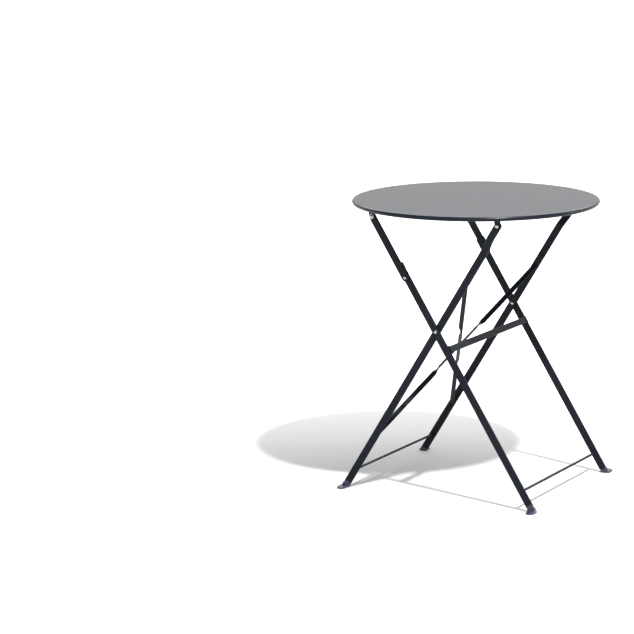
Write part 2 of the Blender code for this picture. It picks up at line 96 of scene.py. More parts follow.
# The lug above each knee
LUG_BEND = 0.0012
LUG_BEND_STEPS = 6
LUG_SINK = 0.0005
LUG_CLEARANCE = 0.0002
LUG_EDGE = 0.00045

# Rods
ROD_EDGE = 0.0004
ROD_STEPS = 40

# Crossed straps
STRAP_THICK = 0.003
STRAP_TAB = 0.028
STRAP_TWIST_AT = 0.083
STRAP_TWIST_LENGTH = 0.030
STRAP_LEVEL = 0.00165
STRAP_EDGE = 0.0008
STRAP_BEND = 0.009
STRAP_BEND_STEPS = 8
STRAP_STEP = 0.0025

# Hinge rails, as thick as in the CAD
RAIL_THICK = 0.0025
RAIL_BEND = 0.004
RAIL_BEND_STEPS = 10
RAIL_TIP_HEIGHT = 0.003
RAIL_TIP_STEPS = 12
RAIL_TIP_NARROWEST = 0.0006
RAIL_EDGE = 0.0005
RAIL_WELDS_AT = (-0.15, -0.05, 0.05, 0.15)
RAIL_WELD_HALF = 0.010
RAIL_WELD_DROP = 0.0009

# Painted welds
WELD_RADIUS = 0.0013
WELD_RIPPLE = 0.0022
WELD_SIDES = 10

# Turned pieces
TURN_STEPS = 56
HEAD_STEPS = 12
HEAD_REACH = 0.004
AXIS_RADIUS = 0.0005
HAIR = 0.00001

# Moulded shoes
SHOE_VOXEL = 0.0005
SHOE_SMOOTHING = 6
SHOE_FACES_KEPT = 0.3


# Frames of reference


def leg_frame(upper_pivot):
    """Local X runs up the leg from the cross pivot, local Y across its width, local Z along +Y."""
    origin = PIVOTS["leg_cross_pivot"]
    reach = Vector((upper_pivot.x - origin.x, 0, upper_pivot.z - origin.z))
    up = reach.normalized()
    across = OUTWARD.cross(up)
    return Matrix.Translation(origin) @ Matrix((up, across, OUTWARD)).transposed().to_4x4()


INNER = leg_frame(PIVOTS["top_hinge"])
OUTER = leg_frame(PIVOTS["front_link_hinge"])


def pivot_frame(point, side):
    """Local Z points outwards along the pivot's axis, and is 0 at the table's middle plane."""
    return Matrix(((1, 0, 0, point.x), (0, 0, side, 0), (0, -side, 0, point.z), (0, 0, 0, 1)))


def cad_points(node, matrix=ROW_FRAME):
    """The CAD node's points in the frame that matrix places, as an array."""
    inverse = np.array(matrix.inverted())
    points = np.array([(*vertex.co, 1) for vertex in NODES[node].data.vertices])
    return (points @ inverse.T)[:, :3]


def extent(node, matrix=ROW_FRAME):
    points = cad_points(node, matrix)
    return Vector(points.min(0)), Vector(points.max(0))


def knee_distance():
    """From the cross pivot up the outer leg to the knee pivot, about which the link's end is round."""
    low, high = extent("knee_link_front", OUTER)
    return low.x + high.y


KNEE_ALONG = knee_distance()


def ease(share):
    return share * share * (3 - 2 * share)


# Meshes


def mesh_of(bm, name):
    bmesh.ops.recalc_face_normals(bm, faces=bm.faces)
    mesh = bpy.data.meshes.new(name)
    bm.to_mesh(mesh)
    bm.free()
    return mesh


def bridge(bm, first, second):
    """Quads between two closed rings of as many points."""
    for index in range(len(first)):
        after = (index + 1) % len(first)
        bm.faces.new((first[index], first[after], second[after], second[index]))


def skin(bm, rings, closed=False):
    """Joins rings in a row, and either caps both ends or joins the last ring to the first."""
    for first, second in zip(rings, rings[1:]):
        bridge(bm, first, second)
    if closed:
        bridge(bm, rings[-1], rings[0])
    else:
        bm.faces.new(rings[0][::-1])
        bm.faces.new(rings[-1])
    return bm


def ring_edges(bm, ring):
    return [bm.edges.get((ring[i], ring[(i + 1) % len(ring)])) for i in range(len(ring))]


def rounded_outline(low, high, rounds, inset):
    """A rounded rectangle, drawn inset inside its edge. rounds are its radii at low and high x."""
    near, far = rounds
    centres = (
        (high.x - far, high.y - far, far),
        (low.x + near, high.y - near, near),
        (low.x + near, low.y + near, near),
        (high.x - far, low.y + far, far),
    )
    points = []
    for quarter, (x, y, radius) in enumerate(centres):
        for step in range(CORNER_STEPS + 1):
            turn = math.pi / 2 * (quarter + step / CORNER_STEPS)
            points.append((x + (radius - inset) * math.cos(turn), y + (radius - inset) * math.sin(turn)))
    return points


def circle(x, y, radius, steps):
    turns = [2 * math.pi * i / steps for i in range(steps)]
    return [(x + radius * math.cos(t), y + radius * math.sin(t)) for t in turns]


def arc(middle, radius, start, end, steps):
    turns = [start + (end - start) * i / steps for i in range(steps + 1)]
    return [(middle[0] + radius * math.cos(t), middle[1] + radius * math.sin(t)) for t in turns]


def edge_profile(low, high, edge):
    """(inset, height) pairs from the lower face, round the edge, to the upper face."""
    turns = [math.pi / 2 * i / EDGE_STEPS for i in range(EDGE_STEPS + 1)]
    lower = [(edge * (1 - math.sin(t)), low + edge * (1 - math.cos(t))) for t in turns]
    upper = [(inset, high + low - height) for inset, height in reversed(lower)]
    return lower + upper


def plate(low, high, rounds, edge, holes=()):
    """A flat plate with rounded corners, rounded edges and round holes at (x, 0)."""
    bm = bmesh.new()
    faces = [[], []]
    walls = [(lambda inset: rounded_outline(low, high, rounds, inset), edge)]
    for x in holes:
        walls.append((lambda inset, x=x: circle(x, 0, HOLE_RADIUS + inset, HOLE_STEPS), HOLE_EDGE))
    for outline, radius in walls:
        rings = []
        for inset, height in edge_profile(low.z, high.z, radius):
            rings.append([bm.verts.new((x, y, height)) for x, y in outline(inset)])
        for first, second in zip(rings, rings[1:]):
            bridge(bm, first, second)
        faces[0] += ring_edges(bm, rings[0])
        faces[1] += ring_edges(bm, rings[-1])
    for edges in faces:
        bmesh.ops.triangle_fill(bm, use_beauty=True, use_dissolve=False, edges=edges)
    return bm


def lathe(profile, steps=TURN_STEPS, closed=False):
    """Turns (radius, height) points about local Z. An open profile starts and ends on the axis."""
    bm = bmesh.new()
    rings = []
    for radius, height in profile:
        if radius == 0:
            rings.append([bm.verts.new((0, 0, height))])
        else:
            rings.append([bm.verts.new((x, y, height)) for x, y in circle(0, 0, radius, steps)])
    pairs = list(zip(rings, rings[1:]))
    if closed:
        pairs.append((rings[-1], rings[0]))
    for first, second in pairs:
        if len(first) > 1 and len(second) > 1:
            bridge(bm, first, second)
            continue
        pole, ring = (first, second) if len(first) == 1 else (second, first)
        for index in range(steps):
            bm.faces.new((pole[0], ring[index], ring[(index + 1) % steps]))
    return bm


def tube(path, across_at, section, widths=None, closed=False):
    """Sweeps section, points as (across, off), along path. across_at(index, tangent) turns it."""
    bm = bmesh.new()
    rings = []
    for index, point in enumerate(path):
        if closed:
            before, after = path[index - 1], path[(index + 1) % len(path)]
        else:
            before, after = path[max(index - 1, 0)], path[min(index + 1, len(path) - 1)]
        tangent = (after - before).normalized()
        across = across_at(index, tangent)
        off = tangent.cross(across).normalized()
        width = widths[index] if widths else 1
        rings.append([bm.verts.new(point + (across * a + off * b) * width) for a, b in section])
    return skin(bm, rings, closed)


def weld_across(_, tangent):
    if abs(tangent.y) < 0.9:
        return tangent.cross(OUTWARD).normalized()
    return tangent.orthogonal().normalized()


def weld_bead(corners, radius, seed, closed=False):
    """A painted weld: a tube along the corners whose surface ripples as it was laid."""
    path = []
    loop = corners + corners[:1] if closed else corners
    for start, end in zip(loop, loop[1:]):
        steps = max(2, round((end - start).length / (WELD_RIPPLE / 4)))
        path += [start.lerp(end, i / steps) for i in range(steps)]
    if not closed:
        path.append(loop[-1])
    travelled = 0
    widths = []
    for index, place in enumerate(path):
        travelled += (place - path[index - 1]).length if index else 0
        wander = 1 + 0.16 * noise.noise(place * 260 + Vector((seed, 0, 0)))
        ends = 1 if closed else min(1, 0.45 + min(index, len(path) - 1 - index) / 5)
        ripple = 1 + 0.10 * math.cos(2 * math.pi * travelled / WELD_RIPPLE)
        widths.append(radius * ends * ripple * wander)
    return tube(path, weld_across, circle(0, 0, 1, WELD_SIDES), widths, closed)


# Node materials


class Nodes:
    """Adds nodes to a shader tree. An input's value is a number, a colour or another node's output."""

    def __init__(self, tree):
        self.tree = tree

    def add(self, kind, inputs=None, **settings):
        made = self.tree.nodes.new("ShaderNode" + kind)
        for key, value in settings.items():
            setattr(made, key, value)
        for key, value in (inputs or {}).items():
            self.put(made.inputs[key], value)
        return made

    def put(self, socket, value):
        if isinstance(value, bpy.types.NodeSocket):
            self.tree.links.new(value, socket)
        elif socket.type == "RGBA":
            socket.default_value = (*value, 1)
        else:
            socket.default_value = value

    def ramp(self, value, low, high, to_low=0.0, to_high=1.0):
        inputs = {"Value": value, "From Min": low, "From Max": high, "To Min": to_low, "To Max": to_high}
        return self.add("MapRange", inputs, clamp=True).outputs["Result"]

    def choose(self, switch, when_off, when_on):
        """when_on where switch is 1, when_off where it is 0, and a blend between."""
        return self.ramp(switch, 0.0, 1.0, when_off, when_on)

    def math(self, operation, first, second):
        return self.add("Math", {0: first, 1: second}, operation=operation).outputs["Value"]

    def dot(self, first, second):
        return self.add("VectorMath", {0: first, 1: second}, operation="DOT_PRODUCT").outputs["Value"]

    def height(self, vector):
        return self.add("SeparateXYZ", {"Vector": vector}).outputs["Z"]

    def ray(self, kind):
        return self.add("LightPath").outputs[f"Is {kind} Ray"]


class Shader(Nodes):
    """One material, with its object's own coordinates in place and its surface's normal in normal."""

    def __init__(self, name):
        self.material = bpy.data.materials.new(name)
        self.material.use_nodes = True
        super().__init__(self.material.node_tree)
        self.surface = self.tree.nodes["Principled BSDF"]
        self.place = self.add("TexCoord").outputs["Object"]
        self.normal = self.add("NewGeometry").outputs["Normal"]

    def noise(self, scale, detail=3.0, roughness=0.5, stretch=None, turn=0.0):
        place = self.place
        if stretch:
            inputs = {"Vector": place, "Scale": stretch, "Rotation": (0, 0, turn)}
            place = self.add("Mapping", inputs).outputs["Vector"]
        inputs = {"Vector": place, "Scale": scale, "Detail": detail, "Roughness": roughness}
        return self.add("TexNoise", inputs).outputs["Fac"]

    def mix(self, share, first, second):
        """A blend of two colours."""
        made = self.add("Mix", data_type="RGBA")
        self.put(made.inputs[0], share)
        self.put(made.inputs[6], first)
        self.put(made.inputs[7], second)
        return made.outputs[2]

    def edges(self, radius):
        """1 on outside edges, 0 on flat faces."""
        rounded = self.add("Bevel", {"Radius": radius}, samples=6).outputs["Normal"]
        return self.ramp(self.dot(rounded, self.normal), 0.985, 0.86)

    def facing_up(self):
        return self.ramp(self.height(self.normal), 0.75, 0.98)

    def bump(self, height, distance, strength, under=None):
        inputs = {"Height": height, "Distance": distance, "Strength": strength}
        if under is not None:
            inputs["Normal"] = under
        return self.add("Bump", inputs).outputs["Normal"]

    def finish(self, **inputs):
        for key, value in inputs.items():
            self.put(self.surface.inputs[key.replace("_", " ")], value)
        return self.material


DUST = (0.30, 0.29, 0.27)


def scaled(colour, factor):
    return tuple(factor * part for part in colour)


def powder_coat(name, colour, roughness, grain, dust, ior, patchy, scuffed=False):
    """Sprayed and baked paint: a fine orange peel, thinner and lighter on its edges, with a little dust."""
    s = Shader(name)
    cloud = s.ramp(s.noise(scale=5.5, detail=4.0), 0.3, 0.7)
    fine = s.ramp(s.noise(scale=320.0, roughness=0.6), 0.35, 0.75, to_high=0.35)
    base = s.mix(cloud, scaled(colour, 1 - patchy), scaled(colour, 1 + patchy))
    base = s.mix(fine, base, scaled(colour, 1.5))

    chipped = s.ramp(s.noise(scale=75.0, detail=5.0, roughness=0.65), 0.38, 0.66, 0.1, 0.8)
    worn = s.math("MULTIPLY", s.edges(0.0011), chipped)
    base = s.mix(worn, base, scaled(colour, 3.4))
    specks = s.ramp(s.noise(scale=38.0, detail=6.0, roughness=0.7), 0.42, 0.8, to_high=dust)
    settled = s.math("MULTIPLY", s.facing_up(), specks)
    base = s.mix(settled, base, DUST)

    smears = s.noise(scale=24.0, detail=5.0, roughness=0.6)
    shine = s.ramp(smears, 0.3, 0.7, roughness * (1 - patchy / 2), roughness * (1 + patchy / 2))
    shine = s.math("ADD", shine, s.math("MULTIPLY", settled, 0.5))
    if scuffed:
        for turn, stretch in ((0.4, (3, 70, 3)), (1.7, (80, 4, 4))):
            streaks = s.noise(scale=4.0, detail=6.0, stretch=stretch, turn=turn)
            shine = s.math("ADD", shine, s.ramp(streaks, 0.66, 0.74, to_high=0.035))

    peel = s.bump(s.noise(scale=grain, detail=2.0), distance=0.00005, strength=0.5)
    sag = s.noise(scale=55.0, detail=2.0, roughness=0.4)
    wave = s.bump(sag, distance=0.00012, strength=patchy, under=peel)
    return s.finish(Base_Color=base, Roughness=shine, Normal=wave, IOR=ior)


def zinc(name):
    """Bright zinc plate on turned steel, with spangles, turning marks and dull spots."""
    s = Shader(name)
    cells = s.add("TexVoronoi", {"Vector": s.place, "Scale": 900.0}).outputs["Distance"]
    dull = s.ramp(s.noise(scale=420.0, detail=4.0, roughness=0.6), 0.45, 0.72)
    base = s.mix(s.ramp(cells, 0.1, 0.7), (0.86, 0.86, 0.85), (0.74, 0.75, 0.77))
    base = s.mix(s.math("MULTIPLY", dull, 0.55), base, (0.50, 0.50, 0.49))
    shine = s.choose(dull, 0.12, 0.32)
    marks = s.bump(s.noise(scale=1500.0, detail=2.0), distance=0.00003, strength=0.5)
    return s.finish(Base_Color=base, Metallic=1.0, Roughness=shine, Normal=marks)


def nylon(name):
    s = Shader(name)
    base = s.mix(s.ramp(s.noise(scale=160.0), 0.35, 0.7), (0.72, 0.71, 0.66), (0.60, 0.58, 0.52))
    shine = s.ramp(s.noise(scale=90.0), 0.3, 0.7, 0.42, 0.58)
    grain = s.bump(s.noise(scale=1400.0, detail=2.0), distance=0.00003, strength=0.4)
    return s.finish(Base_Color=base, Roughness=shine, Normal=grain)


def moulded_plastic(name):
    """Smoky violet-grey plastic, slightly clear, scuffed pale along its edges and sole."""
    s = Shader(name)
    cloud = s.ramp(s.noise(scale=70.0, detail=4.0, roughness=0.6), 0.3, 0.7)
    base = s.mix(cloud, (0.045, 0.048, 0.082), (0.068, 0.072, 0.116))

    rubbed = s.ramp(s.noise(scale=260.0, detail=5.0, roughness=0.7), 0.35, 0.65, 0.15, 0.9)
    scuff = s.math("MULTIPLY", s.edges(0.0012), rubbed)
    near_floor = s.ramp(s.height(s.place), 0.003, 0.0004)
    low = s.math("MULTIPLY", near_floor, s.ramp(s.noise(scale=500.0), 0.4, 0.6))
    worn = s.math("MAXIMUM", scuff, s.math("MULTIPLY", low, 0.5))
    base = s.mix(worn, base, (0.42, 0.42, 0.47))

    shine = s.ramp(s.noise(scale=140.0, detail=4.0), 0.3, 0.7, 0.14, 0.26)
    grain = s.bump(s.noise(scale=1100.0, detail=2.0), distance=0.00004, strength=0.4)
    return s.finish(
        Base_Color=base,
        Roughness=shine,
        Normal=grain,
        Transmission_Weight=0.10,
        Subsurface_Weight=0.15,
        Subsurface_Radius=(0.002, 0.002, 0.003),
        Subsurface_Scale=1.0,
    )


FINISHES = {
    "top_paint": powder_coat(
        "top_powder_coat",
        colour=(0.009, 0.012, 0.019),
        roughness=0.25,
        grain=900.0,
        dust=0.02,
        ior=1.36,
        patchy=0.04,
        scuffed=True,
    ),
    "frame_paint": powder_coat(
        "frame_powder_coat",
        colour=(0.0104, 0.0137, 0.0197),
        roughness=0.38,
        grain=700.0,
        dust=0.07,
        ior=1.25,
        patchy=0.16,
    ),
    "zinc_plate": zinc("zinc_plating"),
    "spacer_nylon": nylon("natural_nylon"),
    "shoe_plastic": moulded_plastic("smoky_plastic"),
}


# Pieces


def show(name, mesh, like, *nodes, flat_faces=False):
    """Adds a piece that rides with the CAD node like, takes its finish, and stands for nodes."""
    piece = bpy.data.objects.new(name, mesh)
    bpy.context.scene.collection.objects.link(piece)
    mesh.materials.append(FINISHES[SLOT_OF[like]])
    if flat_faces:
        modifier = piece.modifiers.new("flat_faces", "WEIGHTED_NORMAL")
        modifier.keep_sharp = True
    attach(piece, BODY_OF[like])
    if nodes:
        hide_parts(*nodes)


def show_bm(name, bm, matrix, like, *nodes, flat_faces=False):
    mesh = mesh_of(bm, name)
    mesh.transform(matrix)
    mesh.shade_smooth()
    mesh.set_sharp_from_angle(angle=math.radians(SHARP_ANGLE))
    show(name, mesh, like, *nodes, flat_faces=flat_faces)


def show_bar(node, bm, matrix):
    show_bm(f"{node}_bar", bm, matrix, node, node, flat_faces=True)


def show_turned(node, bm, matrix):
    show_bm(f"{node}_turned", bm, matrix, node, node)


def show_weld(name, corners, radius, like, seed, closed=False):
    show_bm(name, weld_bead(corners, radius, seed, closed), ROW_FRAME, like)


def build_top():
    """The sheet with its edge rolled under into a bead, whose lip ends inside it."""
    node = "table_top"
    low, high = extent(node)
    bead = (high.z - low.z) / 2
    middle = (max(high.x, high.y) - bead, high.z - bead)
    points = cad_points(node)
    heights = points[:, 2]
    over_bead = np.abs(np.hypot(points[:, 0], points[:, 1]) - middle[0]) < bead / 4
    under_sheet = over_bead & (heights > middle[1]) & (heights < high.z - bead / 20)
    sheet = high.z - heights[under_sheet].max()

    start = math.pi / 2
    outside = arc(middle, bead, start, start - BEAD_SWEEP, BEAD_OUTER_STEPS)
    inside = arc(middle, bead - sheet, start - BEAD_SWEEP, start, BEAD_INNER_STEPS)
    above = [(middle[0] * share, high.z) for share in SHEET_RINGS]
    below = [(middle[0] * share, high.z - sheet) for share in reversed(SHEET_RINGS)]
    profile = [(0, high.z), *above, *outside, *inside, *below, (0, high.z - sheet)]
    show_bm(f"{node}_sheet", lathe(profile, TOP_STEPS), ROW_FRAME, node, node, flat_faces=True)


def bar_box(node, matrix):
    """A bar's box in its leg's frame, as if it had no step and no lug: both are in its upper half."""
    points = cad_points(node, matrix)
    low, high = points.min(0), points.max(0)
    plain_half = points[points[:, 0] < (low[0] + high[0]) / 2]
    faces_low, faces_high = plain_half.min(0), plain_half.max(0)
    half_width = (faces_high[1] - faces_low[1]) / 2
    return Vector((low[0], -half_width, faces_low[2])), Vector((high[0], half_width, faces_high[2]))


def joggle(bm, shift):
    """Steps a leg sideways between two stations, as its CAD solid does."""
    for index in range(JOGGLE_STATIONS + 1):
        station = JOGGLE_START + JOGGLE_LENGTH * index / JOGGLE_STATIONS
        geometry = [*bm.verts, *bm.edges, *bm.faces]
        bmesh.ops.bisect_plane(bm, geom=geometry, plane_co=(station, 0, 0), plane_no=(1, 0, 0))
    for vertex in bm.verts:
        share = min(max((vertex.co.x - JOGGLE_START) / JOGGLE_LENGTH, 0), 1)
        vertex.co.z += shift * ease(share)


def build_legs():
    hinge_along = (PIVOTS["top_hinge"] - PIVOTS["leg_cross_pivot"]).length
    for label, side in SIDES.items():
        node = f"inner_leg_{label}"
        low, high = bar_box(node, INNER)
        bm = plate(low, high, (ROUND_CORNER, ROUND_END), BAR_EDGE, (0, hinge_along))
        stepped_low, stepped_high = extent(node, INNER)
        joggle(bm, stepped_high.z - high.z if side > 0 else stepped_low.z - low.z)
        show_bar(node, bm, INNER)

        node = f"outer_leg_{label}"
        low, high = bar_box(node, OUTER)
        bm = plate(low, high, (ROUND_CORNER, ROUND_END), BAR_EDGE, (0, KNEE_ALONG))
        show_bar(node, bm, OUTER)
        build_lug(node, side, low, high)


def build_lug(node, side, leg_low, leg_high):
    """The flap bent over the link from the leg's upper edge, which stops the link."""
    points = cad_points(node, OUTER)
    raised = points[points[:, 1] > leg_high.y + 0.0001]
    low, high = raised.min(0), raised.max(0)
    under, over = low[1], high[1]
    reach, shoulder = (high[2], leg_high.z) if side > 0 else (low[2], leg_low.z)
    root = (leg_low.z + leg_high.z) / 2
    rooted_at = leg_high.y - (over - under) / 2
    outline = [
        (rooted_at, root),
        (rooted_at, shoulder - side * LUG_SINK),
        (under, shoulder + side * LUG_CLEARANCE),
        (under, reach),
        (over, reach),
    ]
    for step in range(LUG_BEND_STEPS + 1):
        turn = math.pi / 2 * step / LUG_BEND_STEPS
        across = over - LUG_BEND * (1 - math.cos(turn))
        outline.append((across, root + side * LUG_BEND * (1 - math.sin(turn))))

    bm = bmesh.new()
    face = bm.faces.new([bm.verts.new((low[0], across, off)) for across, off in outline])
    grown = bmesh.ops.extrude_face_region(bm, geom=[face])["geom"]
    moved = [part for part in grown if isinstance(part, bmesh.types.BMVert)]
    bmesh.ops.translate(bm, vec=(high[0] - low[0], 0, 0), verts=moved)
    bmesh.ops.recalc_face_normals(bm, faces=bm.faces)
    sharp = [edge for edge in bm.edges if edge.calc_face_angle(0) > math.radians(30)]
    bmesh.ops.bevel(
        bm, geom=sharp, offset=LUG_EDGE, segments=3, profile=0.5, affect="EDGES", clamp_overlap=True
    )
    show_bm(f"{node}_lug", bm, OUTER, node, flat_faces=True)


def build_links():
    hinge = PIVOTS["front_link_hinge"] - PIVOTS["leg_cross_pivot"]
    hinge_along = math.hypot(hinge.x, hinge.z)
    for label in SIDES:
        node = f"knee_link_{label}"
        low, high = extent(node, OUTER)
        show_bar(node, plate(low, high, (ROUND_END, ROUND_END), BAR_EDGE, (KNEE_ALONG, hinge_along)), OUTER)


def build_crossbar():
    """A plate on edge between the outer legs, welded all round at both ends."""
    node = "outer_crossbar"
    low, high = extent(node, OUTER)
    on_edge = Matrix(((1, 0, 0, 0), (0, 0, 1, 0), (0, -1, 0, 0), (0, 0, 0, 1)))
    laid_low = Vector((low.x, -high.z, low.y))
    laid_high = Vector((high.x, -low.z, high.y))
    bm = plate(laid_low, laid_high, (CROSSBAR_CORNER, CROSSBAR_CORNER), CROSSBAR_EDGE)
    show_bar(node, bm, OUTER @ on_edge)
    for label, side in SIDES.items():
        at = side * (high.z - low.z) / 2
        around = ((low.x, low.y), (high.x, low.y), (high.x, high.y), (low.x, high.y))
        corners = [OUTER @ Vector((x, y, at)) for x, y in around]
        show_weld(f"crossbar_weld_{label}", corners, WELD_RADIUS, node, side, closed=True)


def build_rod(node):
    low, high = extent(node)
    radius = (high.z - low.z) / 2
    middle = (low + high) / 2
    half = (high.y - low.y) / 2
    profile = [(0, -half), (radius - ROD_EDGE, -half), (radius, -half + ROD_EDGE)]
    profile += [(radius, half * share) for share in (-0.5, 0, 0.5)]
    profile += [(radius, half - ROD_EDGE), (radius - ROD_EDGE, half), (0, half)]
    along_y = Matrix.Translation(middle) @ Matrix.Rotation(math.pi / 2, 4, "X")
    show_bm(f"{node}_bar", lathe(profile, ROD_STEPS), along_y, node, node)
    for label, side in SIDES.items():
        around = circle(middle.x, middle.z, radius + ROD_EDGE, 24)
        corners = [Vector((x, side * half, z)) for x, z in around]
        show_weld(f"{node}_weld_{label}", corners, WELD_RADIUS * 0.9, node, 7 * side, closed=True)


def strap_section(width):
    """The strap's rounded rectangle, as (across, off) points."""
    points = []
    for quarter, (x, y) in enumerate(((1, 1), (-1, 1), (-1, -1), (1, -1))):
        for step in range(EDGE_STEPS + 1):
            turn = math.pi / 2 * (quarter + step / EDGE_STEPS)
            across = x * (width / 2 - STRAP_EDGE) + STRAP_EDGE * math.cos(turn)
            points.append((across, y * (STRAP_THICK / 2 - STRAP_EDGE) + STRAP_EDGE * math.sin(turn)))
    return points


def strap_line(start, end):
    """Points in the straps' plane from tab to tab, with each bend rounded."""
    tab = Vector((STRAP_TAB, 0))
    corners = [start + tab, start, end, end - tab]
    path = [corners[0]]
    for before, corner, after in zip(corners, corners[1:], corners[2:]):
        enter = corner + (before - corner).normalized() * STRAP_BEND / 2
        leave = corner + (after - corner).normalized() * STRAP_BEND / 2
        for step in range(STRAP_BEND_STEPS + 1):
            share = step / STRAP_BEND_STEPS
            path.append(enter.lerp(corner, share).lerp(corner.lerp(leave, share), share))
    path.append(corners[-1])
    dense = [path[0]]
    for point in path[1:]:
        steps = max(1, math.ceil((point - dense[-1]).length / STRAP_STEP))
        origin = dense[-1].copy()
        dense += [origin.lerp(point, (i + 1) / steps) for i in range(steps)]
    return dense


def build_strap(node, level):
    """A strap from leg to leg, upright at its ends and flat where it passes the other one at level."""
    points = cad_points(node, INNER)
    low, high = points.min(0), points.max(0)
    width = high[1] - low[1]
    offset = (high[1] + low[1]) / 2
    reach = high[2] - STRAP_THICK / 2
    upper_tab = points[points[:, 0] > high[0] - STRAP_TAB / 2]
    side = 1 if upper_tab[:, 2].mean() > 0 else -1
    start = Vector((high[0] - STRAP_TAB, side * reach))
    end = Vector((low[0] + STRAP_TAB, -side * reach))
    middle = (start + end) / 2
    direction = (end - start).normalized()
    flat_until = STRAP_TWIST_AT + STRAP_TWIST_LENGTH / 2
    path = []
    turns = []
    for point in strap_line(start, end):
        distance = abs((point - middle).dot(direction))
        turned = ease(min(max((flat_until - distance) / STRAP_TWIST_LENGTH, 0), 1))
        path.append(Vector((point.x, offset + level * turned, point.y)))
        turns.append(turned * math.pi / 2)

    def across_at(index, tangent):
        upright = (OUTWARD - tangent * OUTWARD.dot(tangent)).normalized()
        return Matrix.Rotation(turns[index], 3, tangent) @ upright

    show_bar(node, tube(path, across_at, strap_section(width)), INNER)
    face = side * (reach + STRAP_THICK / 2)
    edges = {"upper": offset + width / 2, "lower": offset - width / 2}
    for seed, (tip, root, at) in enumerate(((high[0], start.x, face), (low[0], end.x, -face))):
        for edge_name, edge in edges.items():
            run = [INNER @ Vector((x, edge, at)) for x in (root, tip)]
            corners = [run[0].lerp(run[1], share) for share in (0.12, 0.96)]
            name = f"{node}_weld_{seed}_{edge_name}"
            show_weld(name, corners, WELD_RADIUS * 0.8, node, seed + edge * 100)


def rail_section(outer, inner, half):
    """The strip's section between its outer and inner face, with softened edges."""
    outward = (outer - inner).normalized()
    side = max(half - RAIL_EDGE, 0.0001)
    corner = ((0, side), (0.3 * RAIL_EDGE, side + 0.7 * RAIL_EDGE), (RAIL_EDGE, side + RAIL_EDGE))
    ring = [(outer - outward * depth, x) for depth, x in corner]
    ring += [(inner + outward * depth, x) for depth, x in reversed(corner)]
    ring += [(inner + outward * depth, -x) for depth, x in corner]
    ring += [(outer - outward * depth, -x) for depth, x in reversed(corner)]
    return [point + Vector((x, 0, 0)) for point, x in ring]


def rail_stations(low, high, tip_half, half):
    """(outer point, inner point, half width) up the back ear and round its bend, as (y, z) points."""
    stations = []
    for step in range(RAIL_TIP_STEPS + 1):
        turn = math.pi / 2 * (step / RAIL_TIP_STEPS - 1)
        z = low.z + tip_half * (1 + math.sin(turn))
        width = max(tip_half * math.cos(turn), RAIL_TIP_NARROWEST)
        stations.append(((high.y, z), (high.y - RAIL_THICK, z), width))
    centre = (high.y - RAIL_BEND, high.z - RAIL_BEND)
    outside = arc(centre, RAIL_BEND, 0, math.pi / 2, RAIL_BEND_STEPS)
    inside = arc(centre, RAIL_BEND - RAIL_THICK, 0, math.pi / 2, RAIL_BEND_STEPS)
    stations += [(outer, inner, half) for outer, inner in zip(outside, inside)]
    return stations


def build_rail(node):
    """The strip under the top with its ends turned down as ears, rounded at their tips."""
    low, high = extent(node)
    points = cad_points(node)
    middle_x = (low.x + high.x) / 2
    half = (high.x - low.x) / 2
    tips = points[points[:, 2] < low.z + RAIL_TIP_HEIGHT]
    tip_half = np.abs(tips[:, 0] - middle_x).max()

    back = rail_stations(low, high, tip_half, half)
    front = [((-y, z), (-v, w), width) for (y, z), (v, w), width in reversed(back)]
    bm = bmesh.new()
    rings = []
    for outer, inner, width in back + front:
        section = rail_section(Vector((middle_x, *outer)), Vector((middle_x, *inner)), width)
        rings.append([bm.verts.new(point) for point in section])
    show_bm(f"{node}_strip", skin(bm, rings), ROW_FRAME, node, node, flat_faces=True)

    seam = high.z - RAIL_WELD_DROP
    for seed, y in enumerate(RAIL_WELDS_AT):
        for edge_name, x in (("left", middle_x - half), ("right", middle_x + half)):
            corners = [Vector((x, y + reach, seam)) for reach in (-RAIL_WELD_HALF, RAIL_WELD_HALF)]
            show_weld(f"{node}_weld_{seed}_{edge_name}", corners, WELD_RADIUS, node, seed * 3 + x * 10)


# Turned pieces


def turned_sizes(node, matrix):
    """The radii and heights of a turned CAD node's points, about its pivot's axis."""
    points = cad_points(node, matrix)
    return np.hypot(points[:, 0], points[:, 1]), points[:, 2]


def head_profile(radius, base, crown):
    """A domed rivet head from its crown to its rim, with a flat pressed into the top."""
    height = crown - base
    points = [(0, crown - 0.00012), (radius * 0.28, crown - 0.00010), (radius * 0.36, crown - 0.00002)]
    for step in range(1, HEAD_STEPS + 1):
        turn = math.pi / 2 * step / HEAD_STEPS
        reach = radius * (0.36 + 0.64 * math.sin(turn))
        points.append((reach, base + height * (0.22 + 0.78 * math.cos(turn))))
    return [*points, (radius, base + height * 0.12), (radius * 0.985, base)]


def build_rivet(node, matrix):
    """A rivet from its domed head, down its shank, to its upset tail or its plain end."""
    radii, heights = turned_sizes(node, matrix)
    crown, foot = heights.max(), heights.min()
    near_crown = heights > crown - HEAD_REACH
    head = radii[near_crown].max()
    base = heights[near_crown & (radii > head * 0.98)].min()
    pin = radii[(heights <= base + HAIR) & (radii > AXIS_RADIUS)].min()
    below = heights < base - AXIS_RADIUS
    tail = radii[below].max()
    profile = [*head_profile(head, base, crown), (pin, base)]
    if tail > pin * 1.1:
        top = heights[below & (radii > tail * 0.98)].max()
        profile += [(pin, top), (tail * 0.97, top), (tail, top - 0.0003)]
        profile += [(tail * 0.9, (top + foot) / 2), (tail * 0.62, foot + 0.0001)]
        profile += [(tail * 0.3, foot), (0, foot)]
    else:
        profile += [(pin, foot + 0.0002), (pin * 0.9, foot), (0, foot)]
    show_turned(node, lathe(profile), matrix)


